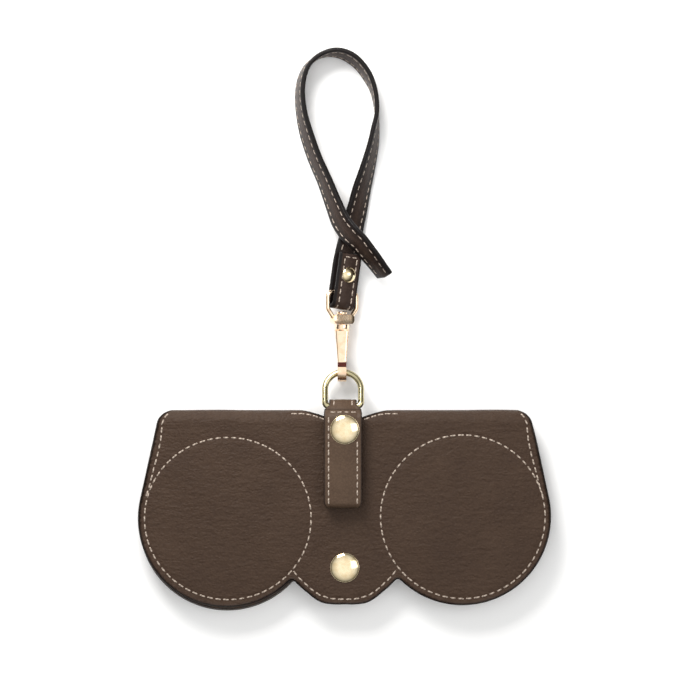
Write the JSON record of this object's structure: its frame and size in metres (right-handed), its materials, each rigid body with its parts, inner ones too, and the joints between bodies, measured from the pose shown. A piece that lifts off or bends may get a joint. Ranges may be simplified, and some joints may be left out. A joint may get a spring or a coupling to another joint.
{
  "type": "soft glasses case",
  "caption": "Soft folded leather glasses case with two round lobes, a snap tab over the front, and a wrist strap on a swivel clip and D-ring.",
  "frame": {"origin": "on the back cover's outer face, at the middle of the case's width and of the covers' height", "axes": "+X across the case to the right seen from the front, +Y from the scalloped hem past the fold towards the wrist strap, +Z out of the front cover; the case lies on its back"},
  "size_m": [0.1648, 0.2253, 0.0176],
  "materials": {
    "case_leather": "pebbled dark brown, soft sheen",
    "lining": "matte brushed microfibre",
    "foam": "felted pad, sealed inside",
    "strap_leather": "smooth brown with painted dark edges",
    "snap_brass": "polished pale gold",
    "ring_metal": "polished pale gold",
    "clip_metal": "polished rose gold",
    "spring_steel": "bright drawn wire",
    "thread": "waxed beige thread"
  },
  "bodies": {
    "back_cover": {"back_leather": "case_leather", "back_lining": "lining", "lower_snap_stud": "snap_brass", "lower_snap_backplate": "snap_brass", "fold_leather": "case_leather", "fold_lining": "lining", "ring_strap": "strap_leather", "tab_bridge": "strap_leather", "back_thread": "thread"},
    "front_cover": {"front_leather": "case_leather", "front_lining": "lining", "left_lens_pad": "foam", "right_lens_pad": "foam", "lower_snap_cap": "snap_brass", "lower_snap_socket": "snap_brass", "upper_snap_stud": "snap_brass", "upper_snap_eyelet": "snap_brass", "front_thread": "thread"},
    "tab": {"tab_strap": "strap_leather", "upper_snap_cap": "snap_brass", "upper_snap_socket": "snap_brass", "tab_thread": "thread"},
    "d_ring": {"d_ring": "ring_metal"},
    "snap_hook": {"hook_body": "clip_metal", "swivel_pin": "clip_metal", "gate_pin": "spring_steel", "gate_spring": "spring_steel"},
    "hook_gate": {"hook_gate": "clip_metal"},
    "swivel_eye": {"swivel_eye": "clip_metal"},
    "wrist_strap": {"wrist_strap_foot": "strap_leather", "wrist_strap_loop": "strap_leather", "strap_rivet_cap": "snap_brass", "strap_rivet_post": "snap_brass", "strap_foot_thread": "thread", "strap_loop_thread": "thread"}
  },
  "joints": [
    {"name": "cover_fold", "type": "hinge", "parent": "back_cover", "child": "front_cover", "pos_m": [0, 0.04205, 0.005], "axis": [-1, 0, 0], "range_deg": [0, 90], "deforming": ["fold_leather", "fold_lining", "tab_bridge"]},
    {"name": "tab_lift", "type": "hinge", "parent": "front_cover", "child": "tab", "pos_m": [-0.0006, 0.038, 0.013], "axis": [-1, 0, 0], "range_deg": [0, 45], "deforming": ["tab_bridge"]},
    {"name": "ring_swing", "type": "hinge", "parent": "back_cover", "child": "d_ring", "pos_m": [-0.0006, 0.0408, 0.009], "axis": [-1, 0, 0], "range_deg": [-60, 80]},
    {"name": "hook_swing", "type": "hinge", "parent": "d_ring", "child": "snap_hook", "pos_m": [-0.001, 0.05425, 0.0046], "axis": [1, 0, 0], "range_deg": [-75, 75]},
    {"name": "gate_open", "type": "hinge", "parent": "snap_hook", "child": "hook_gate", "pos_m": [-0.001, 0.0686, 0.0062], "axis": [1, 0, 0], "range_deg": [0, 20], "stiffness_Nm_per_rad": 0.02, "springref_deg": -20.05, "deforming": ["gate_spring"]},
    {"name": "eye_swivel", "type": "hinge", "parent": "snap_hook", "child": "swivel_eye", "pos_m": [-0.001, 0.0755, 0.006], "axis": [0, 1, 0], "continuous": true},
    {"name": "strap_swing", "type": "hinge", "parent": "swivel_eye", "child": "wrist_strap", "pos_m": [-0.001, 0.0864, 0.006], "axis": [0.8572, 0, -0.515], "range_deg": [-60, 60]}
  ]
}
